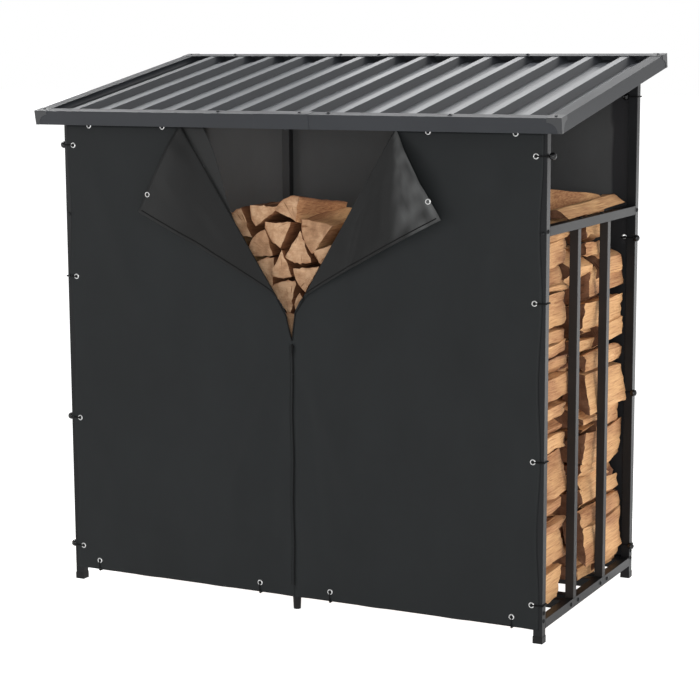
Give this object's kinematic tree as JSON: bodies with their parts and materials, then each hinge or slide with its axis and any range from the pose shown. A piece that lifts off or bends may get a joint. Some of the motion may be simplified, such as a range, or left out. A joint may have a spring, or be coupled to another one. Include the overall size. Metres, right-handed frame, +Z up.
{
  "type": "log store",
  "caption": "Steel firewood rack with a ribbed lean-to roof, front and rear tarpaulins tied on with ball cords, a zipped front opened to a V and split logs stacked inside.",
  "frame": {"origin": "on the ground under the middle of the roof and of the post frame", "axes": "+X to the right along the long side, +Y to the back, +Z up"},
  "size_m": [1.9984, 1.0706, 1.9229],
  "materials": {
    "frame_steel": "satin powder coat",
    "trim_steel": "satin powder coat",
    "roof_steel": "satin coil coat",
    "black_plastic": "matt",
    "tarpaulin": "coated cloth, dull sheen",
    "eyelet_metal": "bright",
    "elastic_cord": "matt",
    "firewood": "raw split wood with bark"
  },
  "bodies": {
    "root": {"front_left_post": "frame_steel", "front_right_post": "frame_steel", "rear_left_post": "frame_steel", "rear_right_post": "frame_steel", "rear_inner_posts": "frame_steel", "front_bottom_rail": "frame_steel", "rear_bottom_rail": "frame_steel", "left_bottom_rail": "frame_steel", "right_bottom_rail": "frame_steel", "floor_rails": "frame_steel", "left_upper_rail": "frame_steel", "right_upper_rail": "frame_steel", "left_side_bars": "frame_steel", "right_side_bars": "frame_steel", "front_top_rail": "frame_steel", "rear_top_rail": "frame_steel", "left_rafter": "frame_steel", "right_rafter": "frame_steel", "roof_purlin": "frame_steel", "front_trim": "trim_steel", "rear_trim": "trim_steel", "left_trim": "trim_steel", "right_trim": "trim_steel", "trim_sleeves": "trim_steel", "left_roof_sheet": "roof_steel", "right_roof_sheet": "roof_steel", "foot_cups": "black_plastic", "centre_feet": "black_plastic", "corner_caps": "black_plastic", "zip": "black_plastic", "front_left_tarp": "tarpaulin", "front_right_tarp": "tarpaulin", "rear_tarp": "tarpaulin", "front_eyelets": "eyelet_metal", "rear_eyelets": "eyelet_metal", "front_ball_ties": "elastic_cord", "rear_ball_ties": "elastic_cord", "front_log_row": "firewood", "middle_log_row": "firewood", "rear_log_row": "firewood", "top_logs": "firewood"}
  },
  "joints": []
}
